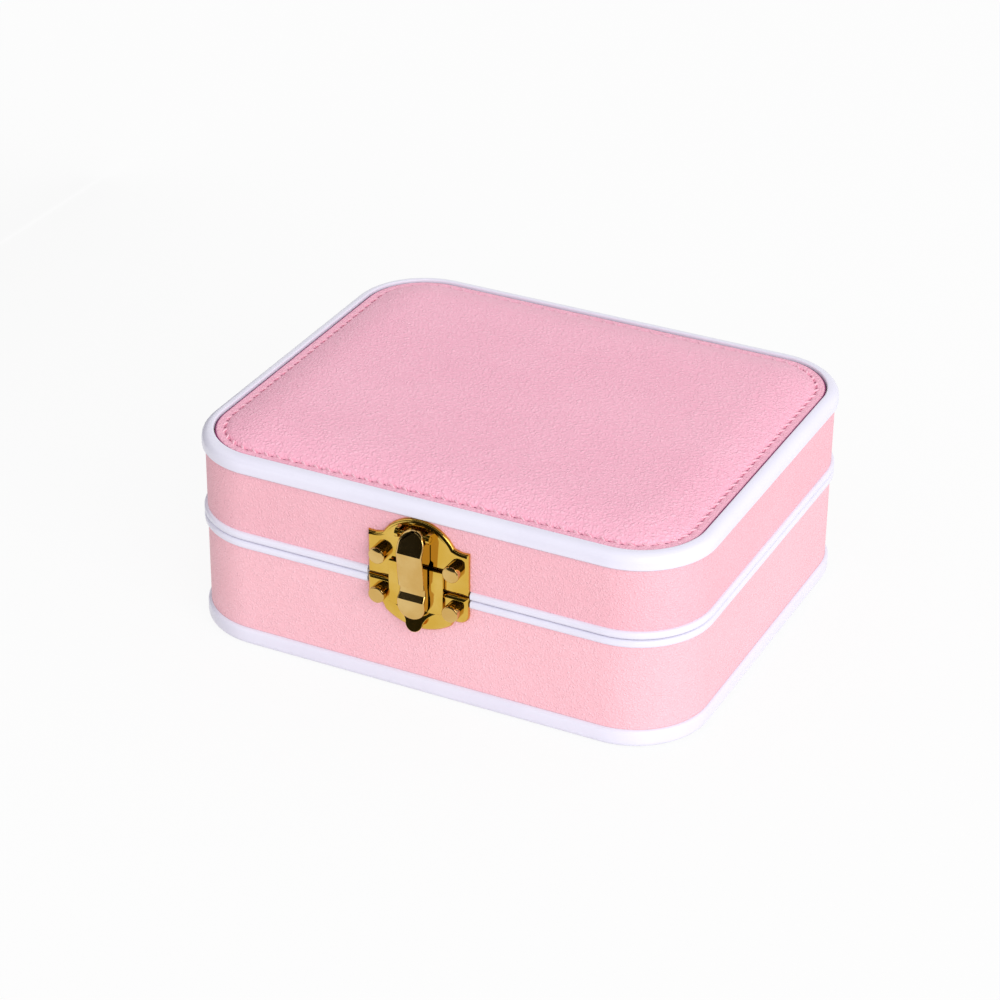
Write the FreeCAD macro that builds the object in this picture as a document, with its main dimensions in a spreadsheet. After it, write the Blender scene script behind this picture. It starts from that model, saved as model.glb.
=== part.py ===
import FreeCAD, Part
import math
import os

import Sketcher
from FreeCAD import Placement, Rotation, Vector

# A small hinged jewellery case: two board shells wrapped in leather, edged with white trims,
# a padded stitched lid panel, a lined tray with ring rolls and dividers, a mirror in the lid,
# a hasp latch in front and two stop hinges behind.
# Frame: +Z up, +X along the long side, the front faces -Y, origin under the middle of the case.

SIZES = [
    ("case_length", 140.0, "leather wall to leather wall, along X"),
    ("case_depth", 118.3, "leather wall to leather wall, along Y"),
    ("corner_radius", 20.0, "outside of the leather at the four upright corners"),
    ("base_height", 31.0, "floor to the top of the base's rim trim"),
    ("lid_height", 23.8, "lid's rim trim to the top of the top trim"),
    ("seam_gap", 0.2, "between the two rim trims when shut"),
    ("leather", 0.8, "thickness of the wall leather"),
    ("wall_board", 2.4, "thickness of the bent wall board"),
    ("lining", 0.8, "thickness of the velvet lining"),
    ("floor_board", 2.0, "thickness of the base's floor board"),
    ("lid_board", 2.0, "thickness of the lid's top board"),
    ("trim_proud", 0.9, "how far the white trims stand out of the leather"),
    ("rim_trim_height", 2.2, "each of the two trims at the seam"),
    ("bottom_trim_height", 4.9, "trim round the foot of the base"),
    ("top_trim_height", 4.1, "trim round the top of the lid, on its side"),
    ("top_trim_inset", 2.3, "from the leather wall to the inner edge of the top trim"),
    ("trim_round", 0.9, "rounding of the rim trims"),
    ("top_trim_round", 2.6, "rounding of the top trim's outer edge"),
    ("foot_trim_round", 1.6, "rounding of the bottom trim's lower edge"),
    ("pad_gap", 0.25, "round the padded panel, inside the top trim"),
    ("pad_foam", 0.9, "foam sheet under the padded panel"),
    ("pad_border", 0.9, "thickness of the padded panel's flat border"),
    ("pad_border_width", 2.4, "from the panel's edge to its stitched seam"),
    ("pad_crown", 2.5, "rise of the padded panel inside its seam"),
    ("pad_slope_drop", 1.0, "height of the slope that the padded panel rises by"),
    ("pad_slope_run", 8.0, "width of that slope"),
    ("lining_drop", 0.8, "wall lining below the rim"),
    ("mirror_length", 92.0, "mirror in the lid, along X"),
    ("mirror_depth", 70.0, "mirror in the lid, along Y"),
    ("mirror_corner", 7.0, "mirror's corner radius"),
    ("mirror_glass", 1.6, "mirror's thickness"),
    ("mirror_gap", 0.3, "round the mirror, in its surround"),
    ("surround", 2.4, "thickness of the padded panel round the mirror"),
    ("surround_gap", 0.4, "round that panel, inside the lid's lining"),
    ("soft_gap", 0.3, "between soft pieces of the tray"),
    ("roll_height", 17.0, "each ring roll above the floor lining"),
    ("roll_count", 7, "ring rolls side by side"),
    ("roll_section", 44.0, "from the left lining to the long divider"),
    ("divider", 2.6, "thickness of the tray's dividers"),
    ("divider_height", 18.0, "dividers above the floor lining"),
    ("cross_divider_y", 6.0, "middle of the cross divider, along Y"),
    ("short_divider_x", 30.0, "middle of the short divider, along X"),
    ("plate_width", 28.2, "latch plates, along X"),
    ("upper_plate", 1.2, "thickness of the latch's upper plate"),
    ("lower_plate", 1.5, "thickness of the latch's lower plate"),
    ("upper_plate_foot", 1.1, "upper plate's lower edge above the seam"),
    ("upper_ear_top", 13.2, "tips of the upper plate's ears above the seam"),
    ("upper_ear_notch", 13.7, "where its ears meet its arch, above the seam"),
    ("ear_cove", 7.0, "hollow of the ears' upper edges"),
    ("upper_arch_radius", 11.4, "arch of the upper plate"),
    ("upper_arch_centre", 8.0, "centre of that arch above the seam"),
    ("lower_plate_top", 0.8, "lower plate's upper edge above the seam"),
    ("lower_ear_foot", 7.0, "lower plate's ears below the seam"),
    ("lower_ear_round", 2.6, "outer corners of the lower plate's ears"),
    ("lower_arch_radius", 15.0, "arch of the lower plate"),
    ("lower_arch_foot", 11.8, "lowest point of that arch below the seam"),
    ("lower_notch_x", 9.3, "end of that arch from the middle"),
    ("lower_notch_run", 0.8, "width of the step from the arch up to the ears"),
    ("nail_reach_x", 10.3, "latch nails from the middle"),
    ("upper_nail_z", 7.9, "upper nails above the seam"),
    ("lower_nail_z", 3.3, "lower nails below the seam"),
    ("nail_head_radius", 2.25, "latch nail's head"),
    ("nail_head_height", 2.7, "middle of the latch nail's head above its plate"),
    ("nail_head_dome", 18.0, "radius of the domed face of the latch nail's head"),
    ("nail_shank_radius", 0.7, "nail's shank"),
    ("nail_depth", 2.9, "shank below the leather's surface"),
    ("nail_play", 0.05, "round a shank in its hole"),
    ("catch_width", 15.2, "catch strap, along X"),
    ("catch_sheet", 0.8, "thickness of the catch strap"),
    ("catch_top", 6.9, "catch strap's upper edge above the seam"),
    ("catch_bend", 5.1, "where its foot starts to flare, below the seam"),
    ("catch_foot", 11.2, "end of its flared foot below the seam"),
    ("catch_flare_radius", 2.0, "bend where the foot starts to flare"),
    ("catch_tip_radius", 2.4, "round end of the flared foot"),
    ("catch_cove", 6.0, "hollow sides of the flared foot"),
    ("catch_slot_width", 7.4, "slot that the tongue's nose snaps into"),
    ("catch_slot_height", 2.6, "height of that slot"),
    ("nose_z", 0.8, "tongue's nose and the slot's middle above the seam"),
    ("running_gap", 0.3, "between pieces that move past each other"),
    ("tongue_width", 7.2, "latch tongue, along X"),
    ("lip_radius", 3.8, "round finger lip at the tongue's foot"),
    ("lip_foot", 7.1, "end of the lip below the seam"),
    ("lip_top", 1.4, "upper edge of the lip below the seam"),
    ("lip_front", 5.4, "front of the lip at its upper edge, from the leather"),
    ("lip_foot_front", 4.9, "front of the lip at its lower end, from the leather"),
    ("tongue_foot_front", 5.0, "front of the tongue's flat at its foot, from the leather"),
    ("tongue_top_front", 6.3, "front of the tongue's flat at its top, from the leather"),
    ("tongue_flat_foot", 2.1, "lower end of the flat above the seam"),
    ("tongue_flat_top", 12.0, "upper end of the flat above the seam"),
    ("tongue_pivot_z", 16.2, "tongue's pivot above the seam"),
    ("tongue_barrel", 1.6, "radius of the tongue's barrel"),
    ("tongue_pin", 0.6, "radius of the tongue's pin"),
    ("pin_play", 0.05, "round a hinge pin in its bore"),
    ("lug_sheet", 0.9, "thickness of the two lugs that carry the pin"),
    ("lug_radius", 1.3, "round end of a lug"),
    ("hinge_reach_x", 38.0, "middle of each hinge from the middle of the case"),
    ("hinge_width", 19.0, "hinge leaf, along X"),
    ("hinge_leaf", 0.8, "thickness of a hinge leaf"),
    ("hinge_leaf_height", 10.0, "hinge leaf from the seam"),
    ("hinge_axis_off", 1.7, "hinge axis behind the leather"),
    ("hinge_barrel", 1.5, "radius of the hinge barrel"),
    ("hinge_pin", 0.8, "radius of the hinge pin"),
    ("hinge_knuckle", 8.0, "middle knuckle, along X"),
    ("hinge_corner", 2.0, "rounded corners of a leaf"),
    ("hinge_heel", 4.4, "stop heel behind the leather"),
    ("hinge_heel_top", 0.15, "stop heel above the axis"),
    ("hinge_nail_x", 5.6, "hinge nails from the middle of the leaf"),
    ("hinge_nail_z", 6.4, "hinge nails from the seam"),
    ("hinge_nail_radius", 1.7, "hinge nail's head"),
    ("hinge_nail_height", 0.9, "middle of the hinge nail's head above its leaf"),
    ("hinge_nail_dome", 4.0, "radius of the domed face of the hinge nail's head"),
]


class Size:
    """A length as a number and as the sheet expression that gives it."""

    def __init__(self, number, text):
        self.number = float(number)
        self.text = text

    def __add__(self, other):
        other = size_of(other)
        return Size(self.number + other.number, f"({self.text} + {other.text})")

    def __sub__(self, other):
        other = size_of(other)
        return Size(self.number - other.number, f"({self.text} - {other.text})")

    def __mul__(self, factor):
        return Size(self.number * factor, f"({self.text} * {factor})")

    def __truediv__(self, divisor):
        return Size(self.number / divisor, f"({self.text} / {divisor})")

    def __neg__(self):
        return Size(-self.number, f"(0 - {self.text})")

    __radd__ = __add__


def size_of(value):
    return value if isinstance(value, Size) else Size(value, repr(float(value)))


doc = FreeCAD.newDocument("jewellery_case")
sheet = doc.addObject("Spreadsheet::Sheet", "Sizes")
for row, (alias, number, meaning) in enumerate(SIZES, start=1):
    sheet.set(f"A{row}", meaning)
    sheet.set(f"B{row}", str(number))
    sheet.setAlias(f"B{row}", alias)
doc.recompute()
S = {alias: Size(sheet.get(alias), f"Sizes.{alias}") for alias, _, _ in SIZES}
ZERO = size_of(0)
nodes = []


# Helpers for bodies, sketches and booleans

def bind(target, prop, value):
    target.setExpression(prop, size_of(value).text)


def place(target, x=ZERO, y=ZERO, z=ZERO, rotation=None):
    x, y, z = size_of(x), size_of(y), size_of(z)
    target.Placement = Placement(Vector(x.number, y.number, z.number), rotation or Rotation())
    for axis, value in (("x", x), ("y", y), ("z", z)):
        bind(target, f"Placement.Base.{axis}", value)


def node(target, label):
    target.Label = label
    nodes.append(target)
    return target


def new_body(label):
    body = doc.addObject("PartDesign::Body", label)
    body.Label = label
    return body


def origin_feature(body, role):
    return next(f for f in body.Origin.OriginFeatures if f.Role == role)


def new_sketch(body, plane, offset=ZERO):
    sketch = body.newObject("Sketcher::SketchObject", body.Label + "_sketch")
    sketch.AttachmentSupport = [(origin_feature(body, plane), "")]
    sketch.MapMode = "FlatFace"
    bind(sketch, "AttachmentOffset.Base.z", offset)
    return sketch


def dimension(sketch, kind, references, value):
    """A driving dimension of a sketch, tied to the sheet."""
    index = sketch.addConstraint(Sketcher.Constraint(kind, *references, value.number))
    sketch.setExpression(f"Constraints[{index}]", value.text)


def fix_point(sketch, geometry, end, x, y):
    """Holds one end of a line or arc at (x, y) from the sketch's origin."""
    for kind, value, axis in (("DistanceX", size_of(x), -2), ("DistanceY", size_of(y), -1)):
        if abs(value.number) < 1e-9:
            sketch.addConstraint(Sketcher.Constraint("PointOnObject", geometry, end, axis))
        elif value.number > 0:
            dimension(sketch, kind, (-1, 1, geometry, end), value)
        else:
            dimension(sketch, kind, (geometry, end, -1, 1), -value)


def draw_outline(sketch, points):
    """A closed outline. Each point is (x, y) or (x, y, radius): with a radius, the way to the next
    point is an arc, which turns left when the radius is positive and right when it is negative."""
    points = [tuple(size_of(v) for v in p) for p in points]
    first = sketch.GeometryCount
    for here, there in zip(points, points[1:] + points[:1]):
        a = Vector(here[0].number, here[1].number, 0)
        b = Vector(there[0].number, there[1].number, 0)
        if len(here) == 2:
            sketch.addGeometry(Part.LineSegment(a, b), False)
            continue
        radius = abs(here[2].number)
        left = 1 if here[2].number > 0 else -1
        chord = b - a
        rise = math.sqrt(radius**2 - (chord.Length / 2) ** 2)
        across = Vector(-chord.y, chord.x, 0).normalize()
        centre = (a + b) * 0.5 + across * (left * rise)
        middle = centre - across * (left * radius)
        sketch.addGeometry(Part.Arc(a, middle, b), False)
    count = len(points)
    for i, here in enumerate(points):
        following = first + (i + 1) % count
        reverse = len(here) == 3 and here[2].number < 0
        start, end = (2, 1) if reverse else (1, 2)
        after = points[(i + 1) % count]
        next_start = 2 if len(after) == 3 and after[2].number < 0 else 1
        sketch.addConstraint(Sketcher.Constraint("Coincident", first + i, end, following, next_start))
        fix_point(sketch, first + i, start, here[0], here[1])
        if len(here) == 3:
            dimension(sketch, "Radius", (first + i,), -here[2] if reverse else here[2])


def draw_rounded(sketch, length, depth, radius, x=ZERO, y=ZERO):
    """A rounded rectangle about (x, y)."""
    left, right = x - length / 2, x + length / 2
    near, far = y - depth / 2, y + depth / 2
    draw_outline(
        sketch,
        [
            (left + radius, near), (right - radius, near, radius),
            (right, near + radius), (right, far - radius, radius),
            (right - radius, far), (left + radius, far, radius),
            (left, far - radius), (left, near + radius, radius),
        ],
    )


def pad(body, sketch, length, symmetric=False):
    feature = body.newObject("PartDesign::Pad", body.Label + "_pad")
    feature.Profile = sketch
    bind(feature, "Length", length)
    if symmetric:
        feature.SideType = "Symmetric"
    return feature


def round_edges(body, feature, radius, wanted):
    """Rounds the edges of a feature that the test picks."""
    doc.recompute()
    edges = [f"Edge{i}" for i, edge in enumerate(feature.Shape.Edges, start=1) if wanted(edge)]
    fillet = body.newObject("PartDesign::Fillet", body.Label + "_round")
    fillet.Base = (feature, edges)
    bind(fillet, "Radius", radius)
    return fillet


def box(label, length, depth, height, x, y, z):
    """A box whose lowest corner is at (x, y, z)."""
    solid = doc.addObject("Part::Box", label)
    for prop, value in (("Length", length), ("Width", depth), ("Height", height)):
        bind(solid, prop, value)
    place(solid, x, y, z)
    return solid


ALONG_X = Rotation(Vector(0, 1, 0), 90)
ALONG_Y = Rotation(Vector(1, 0, 0), -90)


def cylinder(label, radius, length, x, y, z, rotation):
    solid = doc.addObject("Part::Cylinder", label)
    bind(solid, "Radius", radius)
    bind(solid, "Height", length)
    place(solid, x, y, z, rotation)
    return solid


def fuse(label, *shapes):
    solid = doc.addObject("Part::MultiFuse", label)
    solid.Shapes = list(shapes)
    solid.Refine = True
    return solid


def cut(label, base, *tools):
    solid = doc.addObject("Part::Cut", label)
    solid.Base = base
    solid.Tool = tools[0] if len(tools) == 1 else group(label + "_tools", *tools)
    return solid


def common(label, first, second):
    solid = doc.addObject("Part::Common", label)
    solid.Base = first
    solid.Tool = second
    return solid


def group(label, *shapes):
    solids = doc.addObject("Part::Compound", label)
    solids.Links = list(shapes)
    return solids


def mirrored(label, source):
    """The same piece on the other side of the case."""
    solid = doc.addObject("Part::Mirroring", label)
    solid.Source = source
    solid.Normal = Vector(1, 0, 0)
    return solid


# Levels and walls that the pieces share

front = -(S["case_depth"] / 2)
back = S["case_depth"] / 2
lid_foot = S["base_height"] + S["seam_gap"]
lid_top = lid_foot + S["lid_height"]
seam = S["base_height"] + S["seam_gap"] / 2
board_inside = -(S["leather"] + S["wall_board"])
lining_inside = board_inside - S["lining"]
base_wall_foot = S["bottom_trim_height"]
base_wall_top = S["base_height"] - S["rim_trim_height"]
lid_wall_foot = lid_foot + S["rim_trim_height"]
lid_wall_top = lid_top - S["top_trim_height"]
floor_top = S["leather"] + S["floor_board"]
tray_floor = floor_top + S["lining"]
ceiling = lid_wall_top - S["lining"]


def offset_rounded(sketch, offset):
    """The case's outline, moved out of the leather by an offset."""
    draw_rounded(
        sketch,
        S["case_length"] + offset * 2,
        S["case_depth"] + offset * 2,
        S["corner_radius"] + offset,
    )


def ring(label, outside, inside, foot, top):
    body = new_body(label)
    sketch = new_sketch(body, "XY_Plane", foot)
    offset_rounded(sketch, outside)
    offset_rounded(sketch, inside)
    pad(body, sketch, top - foot)
    return body


def panel(label, edge, foot, top):
    body = new_body(label)
    sketch = new_sketch(body, "XY_Plane", foot)
    offset_rounded(sketch, edge)
    pad(body, sketch, top - foot)
    return body


def outline_offset(point):
    """How far a point lies outside the leather's outline, seen from above."""
    radius = S["corner_radius"].number
    beyond_x = max(abs(point.x) - (S["case_length"].number / 2 - radius), 0)
    beyond_y = max(abs(point.y) - (S["case_depth"].number / 2 - radius), 0)
    return math.hypot(beyond_x, beyond_y) - radius


def edge_at(height, offset):
    """A test for the edges that run round the case at that height and offset."""
    def wanted(edge):
        middle = edge.valueAt((edge.FirstParameter + edge.LastParameter) / 2)
        level = abs(middle.z - height.number) < 1e-4
        return level and abs(outline_offset(middle) - offset.number) < 1e-4

    return wanted


def trim(label, inside, foot, top, rounds):
    """A white edging. Rounds lists (height, radius) for its outer edges."""
    body = ring(label, S["trim_proud"], inside, foot, top)
    for height, radius in rounds:
        round_edges(body, body.Tip, radius, edge_at(height, S["trim_proud"]))
    return body


# Places of the nails, and the holes that they are driven into

def nail_hole(label, x, y, z):
    """A hole through a plate on the leather and into the wall; y is where the hole starts."""
    radius = S["nail_shank_radius"] + S["nail_play"]
    length = S["nail_depth"] + S["nail_play"] + S["lower_plate"]
    return cylinder(label, radius, length, x, y, z, ALONG_Y)


def wall_holes(label, latch_z, hinge_z):
    """All nail holes of one shell: two behind the latch plate, two behind each hinge leaf."""
    holes = []
    for side in (-1, 1):
        x = S["nail_reach_x"] * side
        holes.append(nail_hole(f"{label}_latch_{side}", x, front - S["lower_plate"], latch_z))
        for inner in (-1, 1):
            x = (S["hinge_reach_x"] + S["hinge_nail_x"] * inner) * side
            y = back - S["nail_depth"] - S["nail_play"]
            holes.append(nail_hole(f"{label}_hinge_{side}_{inner}", x, y, hinge_z))
    return group(label, *holes)


base_holes = wall_holes("base_nail_holes", seam - S["lower_nail_z"], seam - S["hinge_nail_z"])
lid_holes = wall_holes("lid_nail_holes", seam + S["upper_nail_z"], seam + S["hinge_nail_z"])


# Room for the metalwork where it crosses the two rim trims

def hardware_notches():
    low, tall = S["base_height"] - S["rim_trim_height"] * 2, S["rim_trim_height"] * 4
    deep = S["trim_proud"] * 2
    plate = S["plate_width"] + S["running_gap"] * 2
    leaf = S["hinge_width"] + S["running_gap"] * 2
    latch_deep = deep + S["running_gap"]
    notches = [box("latch_notch", plate, latch_deep, tall, -(plate / 2), front - deep, low)]
    for side in (-1, 1):
        x = S["hinge_reach_x"] * side - leaf / 2
        notches.append(box(f"hinge_notch_{side}", leaf, deep, tall, x, back, low))
    return group("hardware_notches", *notches)


notches = hardware_notches()

# Base shell

node(cut("base_wall_board", ring("base_wall_board_blank", -S["leather"], board_inside,
                                 base_wall_foot, base_wall_top), base_holes), "base_wall_board")
node(cut("base_wall_leather", ring("base_wall_leather_blank", ZERO, -S["leather"],
                                   base_wall_foot, base_wall_top), base_holes), "base_wall_leather")
node(panel("base_bottom_leather", board_inside, ZERO, S["leather"]), "base_bottom_leather")
node(panel("base_floor_board", board_inside, S["leather"], floor_top), "base_floor_board")
node(panel("base_floor_lining", board_inside, floor_top, tray_floor), "base_floor_lining")
node(ring("base_wall_lining", board_inside, lining_inside, tray_floor, S["base_height"] - S["lining_drop"]),
     "base_wall_lining")
node(trim("base_bottom_trim", board_inside, ZERO, S["bottom_trim_height"],
          [(S["bottom_trim_height"], S["trim_round"]), (ZERO, S["foot_trim_round"])]), "base_bottom_trim")
node(cut("base_rim_trim", trim("base_rim_trim_blank", board_inside, base_wall_top, S["base_height"],
                               [(base_wall_top, S["trim_round"]), (S["base_height"], S["trim_round"])]),
         notches), "base_rim_trim")

# Lid shell

node(cut("lid_wall_board", ring("lid_wall_board_blank", -S["leather"], board_inside,
                                lid_wall_foot, lid_wall_top), lid_holes), "lid_wall_board")
node(cut("lid_wall_leather", ring("lid_wall_leather_blank", ZERO, -S["leather"],
                                  lid_wall_foot, lid_wall_top), lid_holes), "lid_wall_leather")
node(cut("lid_rim_trim", trim("lid_rim_trim_blank", board_inside, lid_foot, lid_wall_foot,
                              [(lid_foot, S["trim_round"]), (lid_wall_foot, S["trim_round"])]),
         notches), "lid_rim_trim")
node(trim("lid_top_trim", -S["top_trim_inset"], lid_wall_top, lid_top,
          [(lid_top, S["top_trim_round"]), (lid_wall_top, S["trim_round"])]), "lid_top_trim")
node(panel("lid_top_board", -S["top_trim_inset"], lid_wall_top, lid_wall_top + S["lid_board"]), "lid_top_board")
node(ring("lid_wall_lining", board_inside, lining_inside, lid_foot + S["lining_drop"], ceiling),
     "lid_wall_lining")
node(panel("lid_ceiling_lining", board_inside, ceiling, lid_wall_top), "lid_ceiling_lining")

# Padded panel on the lid: foam under a leather cover that rises inside its stitched seam

pad_edge = -(S["top_trim_inset"] + S["pad_gap"])
foam_foot = lid_wall_top + S["lid_board"]
cover_foot = foam_foot + S["pad_foam"]
node(panel("lid_top_foam", pad_edge, foam_foot, cover_foot), "lid_top_foam")


def padded_cover():
    body = new_body("lid_top_cover")
    border = new_sketch(body, "XY_Plane", cover_foot)
    offset_rounded(border, pad_edge)
    pad(body, border, S["pad_border"])
    rise = new_sketch(body, "XY_Plane", cover_foot)
    inner_edge = pad_edge - S["pad_border_width"]
    offset_rounded(rise, inner_edge)
    crown_top = cover_foot + S["pad_border"] + S["pad_crown"]
    crown = pad(body, rise, S["pad_border"] + S["pad_crown"])
    doc.recompute()
    rim = edge_at(crown_top, inner_edge)
    edges = [f"Edge{i}" for i, edge in enumerate(crown.Shape.Edges, start=1) if rim(edge)]
    slope = body.newObject("PartDesign::Chamfer", "lid_top_cover_slope")
    slope.Base = (crown, edges)
    slope.ChamferType = "Two distances"
    bind(slope, "Size", S["pad_slope_drop"])
    bind(slope, "Size2", S["pad_slope_run"])
    return body


node(padded_cover(), "lid_top_cover")

# Mirror and the padded surround that frames it inside the lid


def mirror_surround():
    body = new_body("mirror_surround")
    sketch = new_sketch(body, "XY_Plane", ceiling - S["surround"])
    offset_rounded(sketch, lining_inside - S["surround_gap"])
    window_length = S["mirror_length"] + S["mirror_gap"] * 2
    window_depth = S["mirror_depth"] + S["mirror_gap"] * 2
    draw_rounded(sketch, window_length, window_depth, S["mirror_corner"] + S["mirror_gap"])
    pad(body, sketch, S["surround"])
    return body


def mirror_plate():
    body = new_body("mirror")
    sketch = new_sketch(body, "XY_Plane", ceiling - S["mirror_glass"])
    draw_rounded(sketch, S["mirror_length"], S["mirror_depth"], S["mirror_corner"])
    pad(body, sketch, S["mirror_glass"])
    return body


node(mirror_surround(), "mirror_surround")
node(mirror_plate(), "mirror")

# Tray: ring rolls on the left, dividers that make three bays on the right

tray_left = -(S["case_length"] / 2) - lining_inside
tray_right = S["case_length"] / 2 + lining_inside
tray_front = front - lining_inside
tray_back = back + lining_inside
long_divider_left = tray_left + S["roll_section"]
long_divider_right = long_divider_left + S["divider"]
tray_space = panel("tray_space", lining_inside - S["soft_gap"], tray_floor, S["base_height"])


roll_count = int(S["roll_count"].number)
roll_pitch = (tray_back - tray_front - S["soft_gap"]) / roll_count


def ring_roll(index):
    """A velvet roll with a round top, trimmed where the tray's corner is rounded."""
    middle = roll_pitch * (index - (roll_count - 1) / 2)
    half = (roll_pitch - S["soft_gap"]) / 2
    body = new_body(f"ring_roll_{index + 1}_blank")
    sketch = new_sketch(body, "YZ_Plane", tray_left + S["soft_gap"])
    shoulder = tray_floor + S["roll_height"] - half
    draw_outline(
        sketch,
        [(middle - half, tray_floor), (middle + half, tray_floor),
         (middle + half, shoulder, half), (middle, shoulder + half, half), (middle - half, shoulder)],
    )
    pad(body, sketch, S["roll_section"] - S["soft_gap"] * 2)
    return common(f"ring_roll_{index + 1}", body, tray_space)


for roll in range(roll_count):
    node(ring_roll(roll), f"ring_roll_{roll + 1}")

tray_depth = tray_back - tray_front - S["soft_gap"] * 2
node(box("long_divider", S["divider"], tray_depth, S["divider_height"], long_divider_left,
         tray_front + S["soft_gap"], tray_floor), "long_divider")
bay_left = long_divider_right + S["soft_gap"]
node(box("cross_divider", tray_right - bay_left - S["soft_gap"], S["divider"], S["divider_height"], bay_left,
         S["cross_divider_y"] - S["divider"] / 2, tray_floor), "cross_divider")
short_foot = S["cross_divider_y"] + S["divider"] / 2 + S["soft_gap"]
node(box("short_divider", S["divider"], tray_back - short_foot - S["soft_gap"], S["divider_height"],
         S["short_divider_x"] - S["divider"] / 2, short_foot, tray_floor), "short_divider")


# Nails: a round head with a domed face and a plain shank

def nail(label, plate, head_radius, head_height, dome, x, y, z, rotation=None):
    """A nail whose head sits on a plate; y is the leather's surface, and the shank goes inwards."""
    body = new_body(label)
    sketch = new_sketch(body, "XY_Plane")
    fall = Size(dome.number - math.sqrt(dome.number**2 - head_radius.number**2),
                f"({dome.text} - sqrt({dome.text}^2 - {head_radius.text}^2))")
    draw_outline(
        sketch,
        [
            (ZERO, S["nail_depth"]),
            (ZERO, -(plate + head_height), dome),
            (head_radius, -(plate + head_height) + fall),
            (head_radius, -plate),
            (S["nail_shank_radius"], -plate),
            (S["nail_shank_radius"], S["nail_depth"]),
        ],
    )
    turn = body.newObject("PartDesign::Revolution", label + "_turn")
    turn.Profile = sketch
    turn.ReferenceAxis = (origin_feature(body, "Y_Axis"), [""])
    turn.Angle = 360.0
    place(body, x, y, z, rotation)
    return body


def latch_nails(label, plate, z):
    heads = [
        nail(f"{label}_{side}", plate, S["nail_head_radius"], S["nail_head_height"], S["nail_head_dome"],
             S["nail_reach_x"] * side, front, z)
        for side in (-1, 1)
    ]
    return node(group(label, *heads), label)


def hinge_nails(label, z):
    facing_back = Rotation(Vector(0, 0, 1), 180)
    heads = [
        nail(f"{label}_{side}_{inner}", S["hinge_leaf"], S["hinge_nail_radius"], S["hinge_nail_height"],
             S["hinge_nail_dome"], (S["hinge_reach_x"] + S["hinge_nail_x"] * inner) * side, back, z,
             facing_back)
        for side in (-1, 1)
        for inner in (-1, 1)
    ]
    return node(group(label, *heads), label)


latch_nails("latch_upper_nails", S["upper_plate"], seam + S["upper_nail_z"])
latch_nails("latch_lower_nails", S["lower_plate"], seam - S["lower_nail_z"])
hinge_nails("hinge_lid_nails", seam + S["hinge_nail_z"])
hinge_nails("hinge_base_nails", seam - S["hinge_nail_z"])

# Latch. Its pieces are drawn from the leather's front surface, outwards along -Y, and from the seam.

TONGUE_SWING = math.radians(115)
FLARE_TILT = math.radians(16)
half_plate = S["plate_width"] / 2
catch_back = S["lower_plate"]
catch_front = catch_back + S["catch_sheet"]
pivot_off = S["upper_plate"] + S["running_gap"] + S["tongue_barrel"]
pivot_z = S["tongue_pivot_z"]


def latch_body(label):
    body = new_body(label)
    place(body, ZERO, front, seam)
    return body


def upper_plate():
    """A plate with two ears, an arched crown and two lugs that carry the tongue's pin."""
    body = latch_body("latch_upper_plate_blank")
    sketch = new_sketch(body, "XZ_Plane")
    rise = S["upper_ear_notch"].number - S["upper_arch_centre"].number
    half_arch = math.sqrt(S["upper_arch_radius"].number ** 2 - rise**2)
    half_arch_text = (f"sqrt({S['upper_arch_radius'].text}^2 - "
                      f"({S['upper_ear_notch'].text} - {S['upper_arch_centre'].text})^2)")
    arch_x = Size(half_arch, half_arch_text)
    arch_top = S["upper_arch_centre"] + S["upper_arch_radius"]
    draw_outline(
        sketch,
        [
            (-half_plate, S["upper_plate_foot"]), (half_plate, S["upper_plate_foot"]),
            (half_plate, S["upper_ear_top"], -S["ear_cove"]),
            (arch_x, S["upper_ear_notch"], S["upper_arch_radius"]),
            (ZERO, arch_top, S["upper_arch_radius"]),
            (-arch_x, S["upper_ear_notch"], -S["ear_cove"]), (-half_plate, S["upper_ear_top"]),
        ],
    )
    pad(body, sketch, S["upper_plate"])
    lugs = []
    for side in (-1, 1):
        inner = S["tongue_width"] / 2 + S["running_gap"]
        x = inner if side > 0 else -(inner + S["lug_sheet"])
        foot = seam + pivot_z - S["lug_radius"] * 2
        lugs.append(cylinder(f"lug_end_{side}", S["lug_radius"], S["lug_sheet"], x, front - pivot_off,
                             seam + pivot_z, ALONG_X))
        lugs.append(box(f"lug_web_{side}", S["lug_sheet"], pivot_off, S["lug_radius"] * 2, x,
                        front - pivot_off, foot + S["lug_radius"]))
    whole = fuse("latch_upper_plate_whole", body, *lugs)
    reach = S["tongue_width"] + S["lug_sheet"] * 4
    bore = cylinder("lug_bore", S["tongue_pin"] + S["pin_play"], reach, -(reach / 2), front - pivot_off,
                    seam + pivot_z, ALONG_X)
    return cut("latch_upper_plate", whole, bore, lid_holes)


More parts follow.
